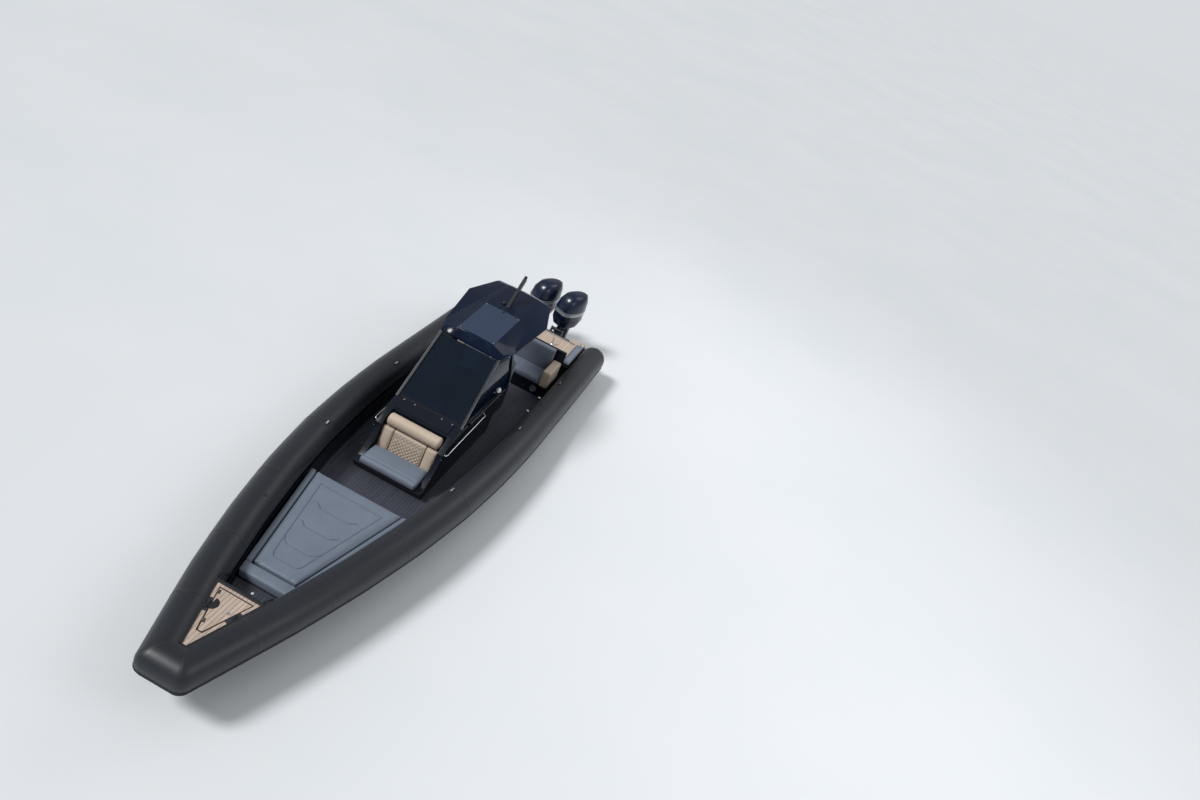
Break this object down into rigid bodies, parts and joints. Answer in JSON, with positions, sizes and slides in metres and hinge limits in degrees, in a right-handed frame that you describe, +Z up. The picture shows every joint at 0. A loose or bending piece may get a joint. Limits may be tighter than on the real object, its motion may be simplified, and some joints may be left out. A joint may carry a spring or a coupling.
{
  "type": "rigid inflatable boat",
  "caption": "Open rib boat with inflatable tubes, deep-V hull, sunpad, centre console with windscreen and hardtop, aft bench and twin tilting outboards.",
  "frame": {"origin": "amidships on the waterline, on the centre line", "axes": "+X forward along the keel, +Y to port, +Z up"},
  "size_m": [13.5868, 3.6576, 3.799],
  "materials": {
    "hull_gelcoat": "gloss",
    "tube_fabric": "satin",
    "strake_rubber": "matte",
    "moulding_black": "satin",
    "planking_dark": "matte",
    "planking_tan": "matte",
    "upholstery_grey": "satin",
    "upholstery_beige": "satin",
    "tinted_glass": "gloss",
    "roof_gloss": "gloss",
    "roof_matt": "matte",
    "frame_black": "satin",
    "fittings_black": "satin",
    "stainless": "polished",
    "outboard_paint": "gloss",
    "outboard_metal": "satin",
    "propeller_steel": "polished"
  },
  "bodies": {
    "boat": {"hull": "hull_gelcoat", "deck_moulding": "moulding_black", "tube_port": "tube_fabric", "tube_starboard": "tube_fabric", "tube_bow": "tube_fabric", "rubbing_strakes": "strake_rubber", "tube_handholds": "fittings_black", "cockpit_planking": "planking_dark", "foredeck": "moulding_black", "foredeck_planking": "planking_tan", "bow_cleats": "fittings_black", "bow_step": "planking_dark", "towing_eyes": "stainless", "sunpad_base": "moulding_black", "sunpad_border": "upholstery_grey", "console": "moulding_black", "console_wings": "moulding_black", "front_seat_cushion": "upholstery_grey", "front_backrest": "upholstery_beige", "front_bolsters": "upholstery_beige", "headrest_roll": "upholstery_beige", "glazing": "tinted_glass", "hardtop_frames": "frame_black", "helm_fittings": "fittings_black", "helm_seat_pod": "moulding_black", "helm_seat_cushions": "upholstery_grey", "helm_seat_backs": "upholstery_grey", "hardtop": "roof_gloss", "roof_panel": "roof_matt", "mast": "frame_black", "aft_bench": "moulding_black", "aft_seat_cushion": "upholstery_grey", "aft_backrest": "upholstery_grey", "aft_bolsters": "upholstery_beige", "aft_deck": "moulding_black", "aft_deck_planking": "planking_tan", "side_pads": "upholstery_grey", "swim_platforms": "moulding_black", "platform_planking": "planking_tan", "outboard_port_bracket": "outboard_metal", "outboard_starboard_bracket": "outboard_metal"},
    "bow_lid": {"bow_locker_lid": "planking_tan"},
    "sunpad_cover": {"sunpad_lid": "moulding_black", "sunpad_lid_cushion": "upholstery_grey"},
    "hatch_lid": {"console_hatch": "moulding_black"},
    "helm_wheel": {"steering_wheel": "fittings_black"},
    "port_swivel": {"outboard_port_swivel": "outboard_metal"},
    "port_engine": {"outboard_port_leg": "outboard_paint", "outboard_port_cowl": "outboard_paint"},
    "port_screw": {"outboard_port_propeller": "propeller_steel"},
    "starboard_swivel": {"outboard_starboard_swivel": "outboard_metal"},
    "starboard_engine": {"outboard_starboard_leg": "outboard_paint", "outboard_starboard_cowl": "outboard_paint"},
    "starboard_screw": {"outboard_starboard_propeller": "propeller_steel"}
  },
  "joints": [
    {"name": "bow_lid_hinge", "type": "hinge", "parent": "boat", "child": "bow_lid", "pos_m": [5.13, -0.19834, 0.9453], "axis": [0.9529, 0.3033, 0], "range_deg": [0, 105]},
    {"name": "sunpad_lid_hinge", "type": "hinge", "parent": "boat", "child": "sunpad_cover", "pos_m": [1.795, 0, 0.5128], "axis": [0, -1, 0], "range_deg": [0, 70]},
    {"name": "console_hatch_hinge", "type": "hinge", "parent": "boat", "child": "hatch_lid", "pos_m": [-0.267, 0, 1.22992], "axis": [0, -1, 0], "range_deg": [0, 80]},
    {"name": "wheel_turn", "type": "hinge", "parent": "boat", "child": "helm_wheel", "pos_m": [-1.985, 0.25, 1.235], "axis": [-0.866, 0, 0.5], "range_deg": [-1008, 72]},
    {"name": "port_tilt", "type": "hinge", "parent": "boat", "child": "port_swivel", "pos_m": [-6.5, 0.35, 0.54], "axis": [0, 1, 0], "range_deg": [-4, 60]},
    {"name": "port_steer", "type": "hinge", "parent": "port_swivel", "child": "port_engine", "pos_m": [-6.6, 0.35, 0.5], "axis": [0, 0, 1], "range_deg": [-4, 56]},
    {"name": "port_propeller_spin", "type": "hinge", "parent": "port_engine", "child": "port_screw", "pos_m": [-7.02333, 0.55647, -0.619], "axis": [0.8988, -0.4384, 0], "continuous": true},
    {"name": "starboard_tilt", "type": "hinge", "parent": "boat", "child": "starboard_swivel", "pos_m": [-6.5, -0.35, 0.54], "axis": [0, 1, 0], "range_deg": [-4, 60]},
    {"name": "starboard_steer", "type": "hinge", "parent": "starboard_swivel", "child": "starboard_engine", "pos_m": [-6.6, -0.35, 0.5], "axis": [0, 0, 1], "range_deg": [-4, 56]},
    {"name": "starboard_propeller_spin", "type": "hinge", "parent": "starboard_engine", "child": "starboard_screw", "pos_m": [-7.02333, -0.14353, -0.619], "axis": [0.8988, -0.4384, 0], "continuous": true}
  ],
  "couplings": [
    {"joint": "wheel_turn", "follows": "port_steer", "ratio": -18},
    {"joint": "starboard_steer", "follows": "port_steer", "ratio": 1}
  ]
}
